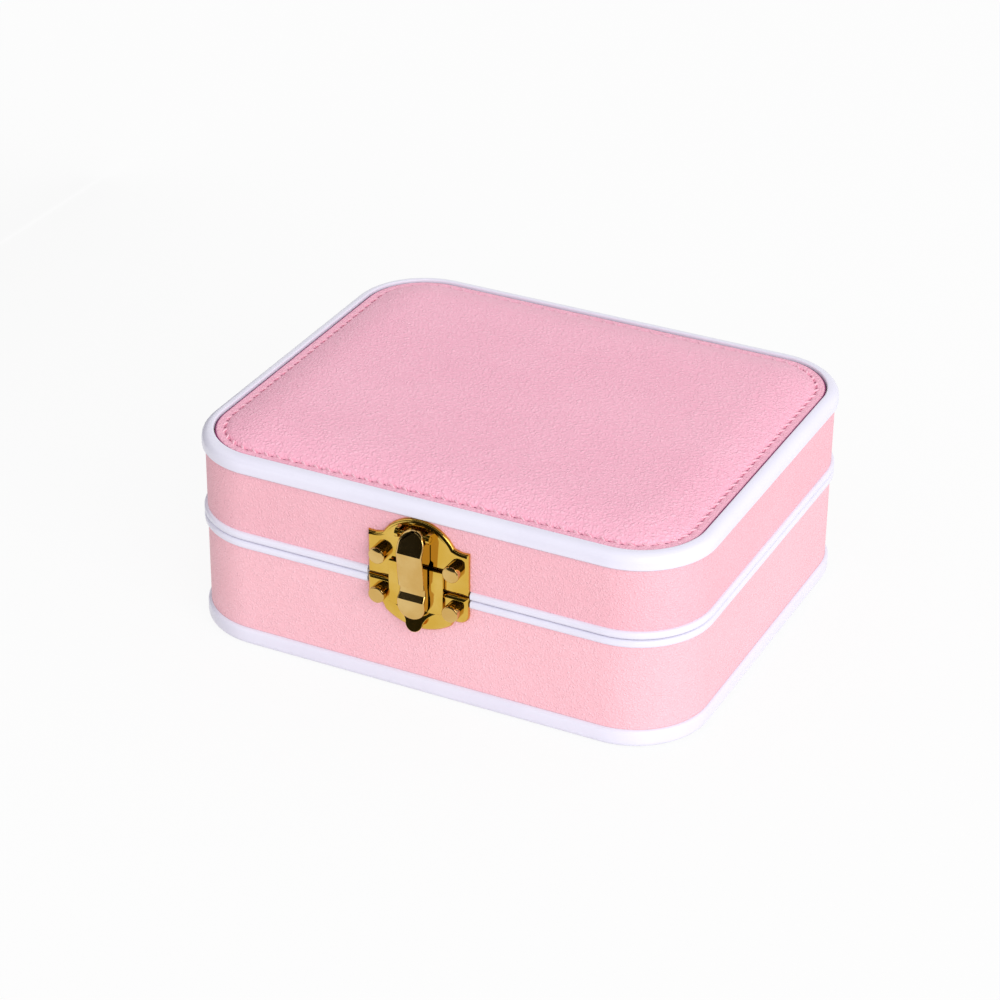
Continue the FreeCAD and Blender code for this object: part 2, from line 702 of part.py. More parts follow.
def lower_plate():
    """A plate with two ears, and between them a shallow arch that hangs lower by a step."""
    body = latch_body("latch_lower_plate_blank")
    sketch = new_sketch(body, "XZ_Plane")
    centre = S["lower_arch_radius"] - S["lower_arch_foot"]
    notch, ear = S["lower_notch_x"], S["lower_notch_x"] + S["lower_notch_run"]
    arch_end = Size(centre.number - math.sqrt(S["lower_arch_radius"].number ** 2 - notch.number**2),
                    f"({centre.text} - sqrt({S['lower_arch_radius'].text}^2 - {notch.text}^2))")
    ear_corner = S["lower_ear_round"] - S["lower_ear_foot"]
    draw_outline(
        sketch,
        [
            (half_plate, S["lower_plate_top"]), (-half_plate, S["lower_plate_top"]),
            (-half_plate, ear_corner, S["lower_ear_round"]),
            (-half_plate + S["lower_ear_round"], -S["lower_ear_foot"]),
            (-ear, -S["lower_ear_foot"]), (-notch, arch_end, S["lower_arch_radius"]),
            (ZERO, -S["lower_arch_foot"], S["lower_arch_radius"]),
            (notch, arch_end), (ear, -S["lower_ear_foot"]),
            (half_plate - S["lower_ear_round"], -S["lower_ear_foot"], S["lower_ear_round"]),
            (half_plate, ear_corner),
        ],
    )
    pad(body, sketch, S["lower_plate"])
    return cut("latch_lower_plate", body, base_holes)


def catch_strap():
    """A strap on the lower plate that stands up past the seam, with a slot for the tongue's nose
    and a foot that flares forward to a round tip."""
    profile = latch_body("catch_profile")
    side = new_sketch(profile, "YZ_Plane")
    bend, foot = -S["catch_bend"], -S["catch_foot"]
    inner = S["catch_flare_radius"]
    outer = inner + S["catch_sheet"]

    def flare(face, radius):
        """Where one face leaves the bend, and where it ends at the foot."""
        out = face + radius * (1 - math.cos(FLARE_TILT))
        drop = bend - radius * math.sin(FLARE_TILT)
        return (-out, drop), (-(out + (drop - foot) * math.tan(FLARE_TILT)), foot)

    front_bend, front_foot = flare(catch_front, inner)
    back_bend, back_foot = flare(catch_back, outer)
    draw_outline(
        side,
        [
            (-catch_back, S["catch_top"]), (-catch_front, S["catch_top"]),
            (-catch_front, bend, -inner), front_bend, front_foot, back_foot, (*back_bend, outer),
            (-catch_back, bend),
        ],
    )
    pad(profile, side, S["catch_width"], symmetric=True)
    outline = latch_body("catch_outline")
    face = new_sketch(outline, "XZ_Plane")
    half, tip = S["catch_width"] / 2, S["catch_tip_radius"]
    draw_outline(
        face,
        [
            (-half, S["catch_top"]), (-half, bend, -S["catch_cove"]), (-tip, foot + tip, tip),
            (ZERO, foot, tip), (tip, foot + tip, -S["catch_cove"]), (half, bend), (half, S["catch_top"]),
        ],
    )
    pad(outline, face, S["lip_front"] * 2)
    slot_width, slot_height = S["catch_slot_width"], S["catch_slot_height"]
    slot = box("catch_slot", slot_width, S["catch_sheet"] * 3, slot_height, -(slot_width / 2),
               front - catch_front - S["catch_sheet"], seam + S["nose_z"] - slot_height / 2)
    return cut("latch_catch", common("latch_catch_blank", profile, outline), slot)


def tongue():
    """The hasp: a barrel on the pin, a shoulder that slopes down from it, a long flat, a nose that
    reaches back to the catch's slot, and a round finger lip. The shoulder leaves the barrel where the
    tongue, swung right up, still clears its plate."""
    profile = latch_body("tongue_profile")
    side = new_sketch(profile, "YZ_Plane")
    barrel = S["tongue_barrel"]
    nose = catch_front + S["running_gap"]
    clear = nose + S["running_gap"]
    groove = S["tongue_foot_front"] - S["catch_sheet"]
    nose_z = S["nose_z"]
    barrel_back = pivot_off - barrel
    heel = S["catch_top"] + S["running_gap"] * 2
    draw_outline(
        side,
        [
            (-(pivot_off - barrel * math.cos(TONGUE_SWING)), pivot_z + barrel * math.sin(TONGUE_SWING)),
            (-S["tongue_top_front"], S["tongue_flat_top"]),
            (-S["tongue_foot_front"], S["tongue_flat_foot"]),
            (-groove, nose_z + S["catch_sheet"]), (-groove, nose_z - S["catch_sheet"]),
            (-S["lip_front"], -S["lip_top"]), (-S["lip_foot_front"], -S["lip_foot"]),
            (-(clear + S["running_gap"]), -S["lip_foot"]), (-clear, -S["lip_top"]),
            (-nose, nose_z), (-clear, S["tongue_flat_foot"]),
            (-clear, heel), (-barrel_back, heel + clear - barrel_back),
            (-barrel_back, pivot_z, barrel),
        ],
    )
    pad(profile, side, S["lip_radius"] * 2, symmetric=True)
    outline = latch_body("tongue_outline")
    face = new_sketch(outline, "XZ_Plane")
    half, lip = S["tongue_width"] / 2, S["lip_radius"]
    top, foot = pivot_z + barrel, -S["lip_foot"]
    draw_outline(
        face,
        [
            (half, top - half, half), (ZERO, top, half), (-half, top - half),
            (-half, nose_z), (-lip, -S["lip_top"]), (-lip, foot + lip, lip), (ZERO, foot, lip),
            (lip, foot + lip), (lip, -S["lip_top"]), (half, nose_z),
        ],
    )
    pad(outline, face, S["lip_front"] * 2)
    length = S["tongue_width"] * 2
    bore = cylinder("tongue_bore", S["tongue_pin"] + S["pin_play"], length, -(length / 2),
                    front - pivot_off, seam + pivot_z, ALONG_X)
    return cut("latch_tongue", common("latch_tongue_blank", profile, outline), bore)


def tongue_pin():
    length = S["tongue_width"] + S["running_gap"] * 2 + S["lug_sheet"] * 2
    return cylinder("latch_pin", S["tongue_pin"], length, -(length / 2), front - pivot_off, seam + pivot_z,
                    ALONG_X)


node(upper_plate(), "latch_upper_plate")
node(lower_plate(), "latch_lower_plate")
node(catch_strap(), "latch_catch")
node(tongue(), "latch_tongue")
node(tongue_pin(), "latch_pin")

# Hinges. The right one is modelled, and the left one mirrors it.

axis_y = back + S["hinge_axis_off"]
leaf_left = S["hinge_reach_x"] - S["hinge_width"] / 2
side_knuckle = (S["hinge_width"] - S["hinge_knuckle"]) / 2 - S["running_gap"]


def hinge_bore(label):
    return cylinder(label, S["hinge_pin"] + S["pin_play"], S["hinge_width"] * 2,
                    S["hinge_reach_x"] - S["hinge_width"], axis_y, seam, ALONG_X)


def leaf_plate(label, foot, top):
    """A flat leaf on the leather, with rounded corners away from the seam."""
    body = new_body(label)
    sketch = new_sketch(body, "XZ_Plane", -back - S["hinge_leaf"])
    left, right = leaf_left, leaf_left + S["hinge_width"]
    corner = S["hinge_corner"]
    if foot.number < seam.number:
        points = [(right, top), (left, top), (left, foot + corner, corner), (left + corner, foot),
                  (right - corner, foot, corner), (right, foot + corner)]
    else:
        points = [(left, foot), (right, foot), (right, top - corner, corner), (right - corner, top),
                  (left + corner, top, corner), (left, top - corner)]
    draw_outline(sketch, points)
    pad(body, sketch, S["hinge_leaf"])
    return body


def knuckle(label, x, length, foot, height):
    """A barrel round the pin with the neck that joins it to its leaf."""
    neck = box(label + "_neck", length, S["hinge_leaf"], height, x, back, foot)
    barrel = cylinder(label + "_barrel", S["hinge_barrel"], length, x, axis_y, seam, ALONG_X)
    return [neck, barrel]


def base_leaf():
    clear = S["hinge_barrel"] + S["running_gap"]
    plate = leaf_plate("hinge_base_plate", seam - S["hinge_leaf_height"], seam - clear)
    pieces = [plate]
    for name, x in (("left", leaf_left), ("right", leaf_left + S["hinge_width"] - side_knuckle)):
        pieces += knuckle(f"base_knuckle_{name}", x, side_knuckle, seam - clear, clear)
        heel_depth = S["hinge_heel"] - S["hinge_axis_off"]
        pieces.append(box(f"heel_{name}", side_knuckle, heel_depth, S["hinge_barrel"] + S["hinge_heel_top"],
                          x, axis_y, seam - S["hinge_barrel"]))
    whole = fuse("hinge_base_whole", *pieces)
    return cut("hinge_base_leaf_right", whole, hinge_bore("hinge_base_bore"), base_holes)


def lid_leaf():
    clear = S["hinge_barrel"] + S["running_gap"]
    plate = leaf_plate("hinge_lid_plate", seam + clear, seam + S["hinge_leaf_height"])
    x = S["hinge_reach_x"] - S["hinge_knuckle"] / 2
    whole = fuse("hinge_lid_whole", plate, *knuckle("lid_knuckle", x, S["hinge_knuckle"], seam, clear))
    return cut("hinge_lid_leaf_right", whole, hinge_bore("hinge_lid_bore"), lid_holes)


def pin():
    return cylinder("hinge_pin_right", S["hinge_pin"], S["hinge_width"], leaf_left, axis_y, seam, ALONG_X)


for name, piece in (("base_leaf", base_leaf()), ("lid_leaf", lid_leaf()), ("pin", pin())):
    right = node(piece, f"hinge_right_{name}")
    node(mirrored(f"hinge_left_{name}", right), f"hinge_left_{name}")

# Build, check and write

doc.recompute()
broken = [o.Label for o in doc.Objects if "Invalid" in o.State or "Error" in o.State]
if broken:
    raise RuntimeError(f"these objects failed: {broken}")
for piece in nodes:
    if piece.Shape.isNull() or not piece.Shape.isValid() or not piece.Shape.Solids:
        raise RuntimeError(f"{piece.Label} has no valid solid")

os.makedirs("parts", exist_ok=True)
for piece in nodes:
    piece.Shape.exportStep(f"parts/{piece.Label}.step")
    solids = piece.Shape.Solids
    print(f"{piece.Label}: {len(solids)} solid(s), {sum(s.Volume for s in solids):.1f} mm3")
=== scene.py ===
# %% [markdown]
# # A leather jewellery case
# The solids of the case are loaded first as a fixed frame, in metres, with +Z up and the latch facing -Y.
# Everything below dresses that frame: leather, edging, padding, stitches, velvet and gold.

# %% Load the frame
import math
import random

import bmesh
import bpy
from mathutils import Matrix, Vector
from mathutils.kdtree import KDTree


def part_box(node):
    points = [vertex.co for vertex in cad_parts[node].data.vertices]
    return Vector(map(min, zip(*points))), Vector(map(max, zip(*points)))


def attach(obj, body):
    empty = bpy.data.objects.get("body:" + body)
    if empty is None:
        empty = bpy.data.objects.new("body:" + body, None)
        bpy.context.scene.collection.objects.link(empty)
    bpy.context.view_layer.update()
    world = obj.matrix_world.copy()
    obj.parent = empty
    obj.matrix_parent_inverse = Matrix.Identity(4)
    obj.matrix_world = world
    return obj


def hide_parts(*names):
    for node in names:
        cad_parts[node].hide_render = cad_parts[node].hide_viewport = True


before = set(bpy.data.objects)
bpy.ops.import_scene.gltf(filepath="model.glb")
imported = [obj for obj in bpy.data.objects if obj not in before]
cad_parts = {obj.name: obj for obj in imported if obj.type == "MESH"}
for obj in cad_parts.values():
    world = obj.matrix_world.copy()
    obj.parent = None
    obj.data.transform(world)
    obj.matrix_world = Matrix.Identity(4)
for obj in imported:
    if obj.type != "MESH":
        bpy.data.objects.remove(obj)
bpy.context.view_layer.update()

random.seed(7)
scene = bpy.context.scene
wall_low, wall_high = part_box("base_wall_leather")
LENGTH = wall_high.x - wall_low.x
DEPTH = wall_high.y - wall_low.y
CORNER = 0.020
MM = 0.001
print(f"leather walls {LENGTH * 1000:.1f} x {DEPTH * 1000:.1f} mm")

# %% [markdown]
# ## Camera
# The photograph was taken from the front right and from above, with a long lens. The three angles, the
# distance and the lens come from fitting the case's edges, so the render can be laid over the photograph.

# %% Camera
AZIMUTH = math.radians(26.0756)
ELEVATION = math.radians(29.3312)
ROLL = math.radians(0.5661)
CAMERA_PLACE = Vector((0.304787, -0.637028, 0.422899))
LENS = 110.11
SENSOR = 36.0

level = math.cos(ELEVATION)
back = Vector((math.sin(AZIMUTH) * level, -math.cos(AZIMUTH) * level, math.sin(ELEVATION)))
right = Vector((math.cos(AZIMUTH), math.sin(AZIMUTH), 0))
up = back.cross(right)
turned_right = right * math.cos(ROLL) + up * math.sin(ROLL)
turned_up = up * math.cos(ROLL) - right * math.sin(ROLL)
turned = Matrix((turned_right, turned_up, back)).transposed().to_4x4()
camera = bpy.data.objects.new("camera", bpy.data.cameras.new("camera"))
camera.data.lens = LENS
camera.data.sensor_width = SENSOR
camera.data.clip_start = 0.01
camera.matrix_world = Matrix.Translation(CAMERA_PLACE) @ turned
scene.collection.objects.link(camera)
scene.camera = camera
print(f"camera {CAMERA_PLACE.length:.2f} m away, lens {LENS} mm")

# %% [markdown]
# ## A way to write finishes
# A finish is a small graph of shader nodes. Wrapping a socket in a class lets the graph be written as
# sums, such as 1 - crease * 0.5, and one method makes any other node: its type, its settings, then its
# inputs.

# %% Shader arithmetic


class Value:
    """A shader socket that can be added, subtracted and multiplied."""

    def __init__(self, tree, socket=None):
        self.tree = tree
        self.socket = socket

    def node(self, kind, settings=None, inputs=None, output=0):
        """Any other node: its settings are set first, then the values or links of its sockets."""
        made = self.tree.nodes.new(kind)
        for name, value in (settings or {}).items():
            setattr(made, name, value)
        for name, value in (inputs or {}).items():
            if isinstance(value, Value):
                self.tree.links.new(value.socket, made.inputs[name])
            else:
                made.inputs[name].default_value = value
        return Value(self.tree, made.outputs[output])

    def math(self, operation, first, second):
        return self.node("ShaderNodeMath", {"operation": operation}, {0: first, 1: second})

    def __add__(self, other):
        return self.math("ADD", self, other)

    def __radd__(self, other):
        return self.math("ADD", other, self)

    def __sub__(self, other):
        return self.math("SUBTRACT", self, other)

    def __rsub__(self, other):
        return self.math("SUBTRACT", other, self)

    def __mul__(self, other):
        return self.math("MULTIPLY", self, other)

    def __rmul__(self, other):
        return self.math("MULTIPLY", other, self)


print("shader arithmetic ready")

# %% Finish tools


def color(red, green, blue):
    """A colour as it is seen on a screen, from 0 to 255, turned into the linear values that shaders use."""
    linear = [c / 12.92 if c <= 0.04045 else ((c + 0.055) / 1.055) ** 2.4
              for c in (red / 255, green / 255, blue / 255)]
    return (*linear, 1.0)


def new_finish(name, **constants):
    """A finish with one principled shader. Constants are set on the shader's own sockets."""
    finish = bpy.data.materials.new(name)
    finish.use_nodes = True
    shader = finish.node_tree.nodes["Principled BSDF"]
    for socket, value in constants.items():
        shader.inputs[socket.replace("_", " ").title().replace("Ior", "IOR")].default_value = value
    return finish, Value(finish.node_tree), shader


def feed(value, shader, socket):
    value.tree.links.new(value.socket, shader.inputs[socket])


def object_place(graph):
    """Where a point lies on the object, in metres. It stays with the piece when the piece moves."""
    return graph.node("ShaderNodeTexCoord", output="Object")


def mix(amount, first, second):
    """From the first colour to the second as the amount goes from 0 to 1. Sockets 6 and 7 take colours."""
    return amount.node("ShaderNodeMix", {"data_type": "RGBA"}, {0: amount, 6: first, 7: second}, output=2)


def bump(height, strength, distance):
    sockets = {"Strength": strength, "Distance": distance, "Height": height}
    return height.node("ShaderNodeBump", None, sockets)


def noise(graph, place, scale, detail=2.0, output=0):
    """A cloudy pattern. Its first output is a number, and its second a colour."""
    sockets = {"Vector": place, "Scale": scale, "Detail": detail}
    return graph.node("ShaderNodeTexNoise", None, sockets, output)


def steps(value, low, high):
    """0 below low, 1 above high, and a soft step between."""
    return value.node("ShaderNodeMapRange", {"interpolation_type": "SMOOTHSTEP"},
                      {"Value": value, "From Min": low, "From Max": high})


print("finish tools ready")

# %% [markdown]
# ## Pink leather
# Coated leather has a pebbled grain: raised cells a millimetre wide or less, with fine creases between.
# A Voronoi texture gives the cells, noise bends them so that they don't look drawn, and a finer noise
# gives the pores. The grain is painted into the colour a little: the creases are darker and warmer, as
# painted shade, and the pores and broad clouds vary the tone at random.
# The grain is given in cells per metre: the padded top has the coarser one. The lid's leather is a
# darker copy of the base's, as painted shade on the lid's walls.

# %% Pink leather
WALL_GRAIN = 1500.0
WALL_RELIEF = 0.00032
PAD_GRAIN = 950.0
PAD_RELIEF = 0.0005
CELL_BEND = 0.0009
CLOUD_SCALE = 46.0


def leather_finish(name, pink, shade_and_mottle_pink, grain, relief):
    finish, graph, shader = new_finish(name, specular_ior_level=0.5)
    place = object_place(graph)
    wander = noise(graph, place, grain * 0.5, 2.0, output=1)
    bent = graph.node("ShaderNodeVectorMath", {"operation": "MULTIPLY_ADD"},
                      {0: wander, 1: (CELL_BEND, CELL_BEND, CELL_BEND), 2: place})
    cells = graph.node("ShaderNodeTexVoronoi", {"feature": "DISTANCE_TO_EDGE"},
                       {"Vector": bent, "Scale": grain})
    pebble = steps(cells, 0.0, 0.4)
    pores = noise(graph, place, grain * 1.1, 2.0)
    broad = noise(graph, place, CLOUD_SCALE, 3.0)
    # Painted shade: the creases take the darker pink, and the pores and clouds vary the tone at random.
    tone = steps(pebble * 0.25 + pores * 0.45 + broad * 0.35, 0.2, 0.85)
    feed(mix(tone, shade_and_mottle_pink, pink), shader, "Base Color")
    feed(0.48 - pebble * 0.06 + broad * 0.08, shader, "Roughness")
    feed(bump(pebble * 0.3 + pores * 0.8 + broad * 0.4, 0.9, relief), shader, "Normal")
    return finish


base_leather = leather_finish("pink_base_leather", color(252, 198, 209), color(246, 185, 196),
                              WALL_GRAIN, WALL_RELIEF)
# Painted shade: the lid's walls get a darker copy of the base's leather.
shaded_lid_leather = leather_finish("pink_lid_leather_painted_shade", color(248, 191, 203), color(241, 177, 190),
                             WALL_GRAIN, WALL_RELIEF)
pad_leather = leather_finish("pink_pad_leather", color(252, 191, 211), color(245, 173, 197),
                             PAD_GRAIN, PAD_RELIEF)
print("leather ready")

# %% [markdown]
# ## White edging
# The edging is smooth moulded plastic. A thin coat gives its soft gloss, a broad noise clouds its white,
# and a finer one gives a ripple that is only seen where it catches the light.

# %% Finish of the edging


def edging_finish():
    finish, graph, shader = new_finish("white_edging", specular_ior_level=0.5, coat_weight=0.25,
                                       coat_roughness=0.2)
    place = object_place(graph)
    cloud = noise(graph, place, 60.0, 3.0)
    ripple = noise(graph, place, 420.0, 2.0)
    feed(mix(cloud, color(222, 219, 236), color(231, 229, 243)), shader, "Base Color")
    feed(0.27 + cloud * 0.12, shader, "Roughness")
    feed(bump(ripple, 0.05, 0.0002), shader, "Normal")
    return finish


white_edging = edging_finish()
print("edging finish ready")

# %% [markdown]
# ## Gold plating
# Bright plating is a metal with a low roughness, and a few smudges make it duller and paler. The plates
# and the hinges are a deep gold. The tongue and the latch's nails get a paler copy, which paints in the
# pale reflections that their faces show, so the finish is made twice.

# %% Gold plating


def gold_finish(name, deep, bright):
    finish, graph, shader = new_finish(name, metallic=1.0)
    place = object_place(graph)
    smudge = steps(noise(graph, place, 130.0, 3.0), 0.35, 0.75)
    grain = noise(graph, place, 5200.0, 2.0)
    feed(mix(smudge, deep, bright), shader, "Base Color")
    feed(0.06 + smudge * 0.05, shader, "Roughness")
    feed(bump(grain, 0.02, 0.00005), shader, "Normal")
    return finish


gold = gold_finish("gold_plating", color(212, 171, 70), color(222, 185, 95))
# Painted reflection: a paler copy of the gold for the tongue and the latch's nails.
gold_painted_reflection = gold_finish("gold_plating_painted_reflection", color(207, 168, 97), color(219, 186, 121))
print("gold ready")

# %% [markdown]
# ## Velvet, thread and glass
# Velvet is a pile, which is brightest where it is seen along its surface, so it gets sheen. Thread is
# twisted, and a wave texture that runs diagonally gives the turns. The mirror is silvered at its back, so
# it is made as a bright metal that is nearly smooth.

# %% Velvet, thread and glass


def velvet_finish():
    finish, graph, shader = new_finish("pink_velvet", specular_ior_level=0.15, sheen_weight=0.55,
                                       sheen_roughness=0.35)
    place = object_place(graph)
    pile = noise(graph, place, 4200.0, 2.0)
    stroke = noise(graph, place, 70.0, 3.0)
    feed(mix(stroke, color(226, 160, 174), color(238, 182, 192)), shader, "Base Color")
    feed(0.86 + pile * 0.1, shader, "Roughness")
    feed(bump(pile * 0.8 + stroke * 0.5, 0.35, 0.0002), shader, "Normal")
    return finish


def thread_finish():
    finish, graph, shader = new_finish("pink_thread", specular_ior_level=0.3)
    place = object_place(graph)
    twist = graph.node("ShaderNodeTexWave", {"bands_direction": "DIAGONAL"},
                       {"Vector": place, "Scale": 900.0, "Distortion": 1.5}, output="Fac")
    feed(mix(twist, color(240, 180, 200), color(250, 202, 216)), shader, "Base Color")
    feed(0.5 + twist * 0.2, shader, "Roughness")
    feed(bump(twist, 0.3, 0.0001), shader, "Normal")
    return finish


def glass_finish():
    finish, graph, shader = new_finish("silvered_glass", metallic=0.92)
    place = object_place(graph)
    haze = noise(graph, place, 25.0, 3.0)
    feed(mix(haze, color(212, 218, 224), color(224, 229, 233)), shader, "Base Color")
    feed(0.015 + haze * 0.02, shader, "Roughness")
    return finish


velvet = velvet_finish()
thread = thread_finish()
mirror_glass = glass_finish()
print("velvet, thread and glass ready")

# %% [markdown]
# ## Boards, foam and painted shade
# Fibreboard and foam are dull and a little uneven, and one graph with a noise between a light and a dark
# colour does for them. The same graph gives the painted shadows: the dark inside of a stitch hole, the
# dark line in the gap beside the padded top, and the faint line where a moulding meets the leather.

# %% Boards, foam and painted shade
FINE_FIBRES = 900.0
FOAM_CELLS = 1400.0


def fibre_finish(name, light, dark, scale=FINE_FIBRES):
    finish, graph, shader = new_finish(name, specular_ior_level=0.2)
    place = object_place(graph)
    fibres = noise(graph, place, scale, 5.0)
    feed(mix(fibres, dark, light), shader, "Base Color")
    feed(0.75 + fibres * 0.2, shader, "Roughness")
    feed(bump(fibres, 0.3, 0.0002), shader, "Normal")
    return finish


fibreboard = fibre_finish("fibreboard", color(196, 172, 140), color(150, 122, 92))
foam_sheet = fibre_finish("foam_sheet", color(236, 230, 218), color(214, 206, 190), FOAM_CELLS)
# Painted shade: the dark inside of a stitch hole.
painted_hole_shade = fibre_finish("painted_hole_shade", color(184, 116, 140), color(160, 94, 120))
# Painted shadow: the dark ring in the gap beside the padded top.
gap_shadow_paint = fibre_finish("painted_gap_shadow", color(140, 50, 108), color(118, 40, 92))
# Painted shadow: the faint line where a moulding meets the leather.
edge_shadow_paint = fibre_finish("edge_shadow_paint", color(226, 190, 200), color(214, 176, 188))
print("boards, foam and glue ready")

# %% [markdown]
# ## Shaping tools
# Most of the case is a rounded rectangle at some height and some distance from the leather. A grid of one
# face with its four corners bevelled gives that outline exactly, and rings, panels and edging all start
# from it.

# %% Outlines and rings


def rounded_sheet(bm, length, depth, radius, height, segments=20):
    """One flat face with round corners, at a height."""
    corners = bmesh.ops.create_grid(bm, x_segments=1, y_segments=1, size=0.5)["verts"]
    bmesh.ops.scale(bm, vec=(length, depth, 1.0), verts=corners)
    bmesh.ops.translate(bm, vec=(0.0, 0.0, height), verts=corners)
    rounded = bmesh.ops.bevel(bm, geom=corners, offset=radius, segments=segments, profile=0.5,
                              affect="VERTICES", material=-1)
    return next(f for f in bm.faces if set(rounded["verts"]) <= set(f.verts))


def case_sheet(bm, offset, height, segments=20):
    """The leather's outline, moved out by an offset."""
    return rounded_sheet(bm, LENGTH + 2 * offset, DEPTH + 2 * offset, CORNER + offset, height, segments)


def raise_faces(bm, faces, rise):
    made = bmesh.ops.extrude_face_region(bm, geom=faces)
    verts = [g for g in made["geom"] if isinstance(g, bmesh.types.BMVert)]
    bmesh.ops.translate(bm, vec=(0.0, 0.0, rise), verts=verts)
    return [g for g in made["geom"] if isinstance(g, bmesh.types.BMFace)]


def ring_between(bm, outer, inner, rise):
    """A solid ring between two flat outlines."""
    edges = list(outer.edges) + list(inner.edges)
    bmesh.ops.delete(bm, geom=[outer, inner], context="FACES_ONLY")
    ring = bmesh.ops.bridge_loops(bm, edges=edges)["faces"]
    raise_faces(bm, ring, rise)


print("outlines and rings ready")

# %% [markdown]
# ## Edges and pieces
# An edge to be rounded is found by where it lies, and two places count as the same within a hair's
# breadth. A finished mesh then becomes a piece: its doubles are merged, its normals point outwards, it
# rides on a body and the solids it stands for are hidden.

# %% Edges and pieces
HAIR = 1e-5


def outline_offset(point):
    """How far a point lies outside the leather's outline, seen from above."""
    beyond_x = max(abs(point.x) - (LENGTH / 2 - CORNER), 0.0)
    beyond_y = max(abs(point.y) - (DEPTH / 2 - CORNER), 0.0)
    return math.hypot(beyond_x, beyond_y) - CORNER


def rim_edges(bm, height, offset):
    """The edges that run round the case at one height and one offset."""
    def on_rim(v):
        return abs(v.co.z - height) < 2 * HAIR and abs(outline_offset(v.co) - offset) < 4 * HAIR
    return [e for e in bm.edges if on_rim(e.verts[0]) and on_rim(e.verts[1])]


def soften(bm, edges, radius, segments=5):
    bmesh.ops.bevel(bm, geom=edges, offset=radius, segments=segments, profile=0.5, affect="EDGES",
                    material=-1, clamp_overlap=False)


def make_piece(name, bm, finish, body, nodes, sharp=40.0):
    """Turns a finished bmesh into an object that rides on a body and stands for its CAD nodes."""
    bmesh.ops.remove_doubles(bm, verts=bm.verts, dist=1e-7)
    bmesh.ops.recalc_face_normals(bm, faces=bm.faces)
    mesh = bpy.data.meshes.new(name)
    bm.to_mesh(mesh)
    bm.free()
    mesh.materials.append(finish)
    mesh.shade_smooth()
    mesh.set_sharp_from_angle(angle=math.radians(sharp))
    piece = bpy.data.objects.new(name, mesh)
    scene.collection.objects.link(piece)
    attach(piece, body)
    if nodes:
        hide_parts(*nodes)
    print(f"{name}: {len(mesh.polygons)} faces")
    return piece


print("tools for edges and pieces ready")

# %% [markdown]
# ## Leather walls
# Each shell is wrapped in one band of leather and lined with velvet. A band is a thin ring, and its
# corners get many segments, because a glossy corner shows every facet. The rims of the lining are soft.

# %% Leather walls
LEATHER_INSIDE = -0.8 * MM
LINING_OUTSIDE = -3.2 * MM
LINING_INSIDE = -4.0 * MM
LINING_SOFT = 0.35 * MM


def wall_band(name, body, finish, outside, inside, soft=0.0):
    low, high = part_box(name)
    bm = bmesh.new()
    ring_between(bm, case_sheet(bm, outside, low.z), case_sheet(bm, inside, low.z), high.z - low.z)
    if soft:
        soften(bm, rim_edges(bm, high.z, inside) + rim_edges(bm, low.z, inside), soft, segments=3)
    make_piece(name + "_skin", bm, finish, body, [name])


for shell, finish in (("base", base_leather), ("lid", shaded_lid_leather)):
    wall_band(f"{shell}_wall_leather", shell, finish, 0.0, LEATHER_INSIDE)
for shell in ("base", "lid"):
    wall_band(f"{shell}_wall_lining", shell, velvet, LINING_OUTSIDE, LINING_INSIDE, LINING_SOFT)

# %% [markdown]
# ## Mouldings
# Four mouldings go round the case. A square ring whose outer edges are bevelled becomes a half-round
# bead, which makes the lowest and the highest. The two at the seam stop beside the latch and the hinges
# and keep their solids. The top one reaches a little lower than its solid does.

# %% Mouldings
PROUD = 0.9 * MM
TOP_DROP = 0.3 * MM


def bead(name, inside, top_round, foot_round, inner_round=0.0, drop=0.0):
    low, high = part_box(name)
    low.z -= drop
    bm = bmesh.new()
    outer = case_sheet(bm, PROUD, low.z, segments=24)
    inner = case_sheet(bm, inside, low.z, segments=24)
    ring_between(bm, outer, inner, high.z - low.z)
    soften(bm, rim_edges(bm, high.z, PROUD), top_round, segments=6)
    soften(bm, rim_edges(bm, low.z, PROUD), foot_round, segments=6)
    if inner_round:
        soften(bm, rim_edges(bm, high.z, inside), inner_round, segments=3)
    return bm


def edging(name, body, **shape):
    make_piece(name + "_bead", bead(name, **shape), white_edging, body, [name], sharp=50.0)


edging("base_bottom_trim", "base", inside=-3.2 * MM, top_round=1.0 * MM, foot_round=1.6 * MM)
edging("lid_top_trim", "lid", inside=-2.3 * MM, top_round=2.6 * MM, foot_round=0.5 * MM,
       inner_round=0.35 * MM, drop=TOP_DROP)

# %% [markdown]
# ## Painted shadow beside the mouldings
# Where a moulding meets the leather, a faint painted shadow runs along the edge. It is a ring that stands
# out by less than a tenth of a millimetre.

# %% Painted shadow beside the mouldings
EDGE_SHADOW_BAND = 0.24 * MM
EDGE_SHADOW_PROUD = 0.05 * MM
EDGE_SHADOW_INSIDE = -0.2 * MM
ABOVE_BOTTOM_TRIM = 0.05 * MM
BELOW_TOP_TRIM = 0.4 * MM


def painted_edge_shadow(name, body, height):
    bm = bmesh.new()
    low = height - EDGE_SHADOW_BAND / 2
    outer = case_sheet(bm, EDGE_SHADOW_PROUD, low)
    inner = case_sheet(bm, EDGE_SHADOW_INSIDE, low)
    ring_between(bm, outer, inner, EDGE_SHADOW_BAND)
    make_piece(name, bm, edge_shadow_paint, body, [])


# Painted shadows above the bottom moulding and below the top one.
painted_edge_shadow("bottom_edge_shadow", "base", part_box("base_bottom_trim")[1].z + ABOVE_BOTTOM_TRIM)
painted_edge_shadow("top_edge_shadow", "lid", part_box("lid_top_trim")[0].z - TOP_DROP - BELOW_TOP_TRIM)

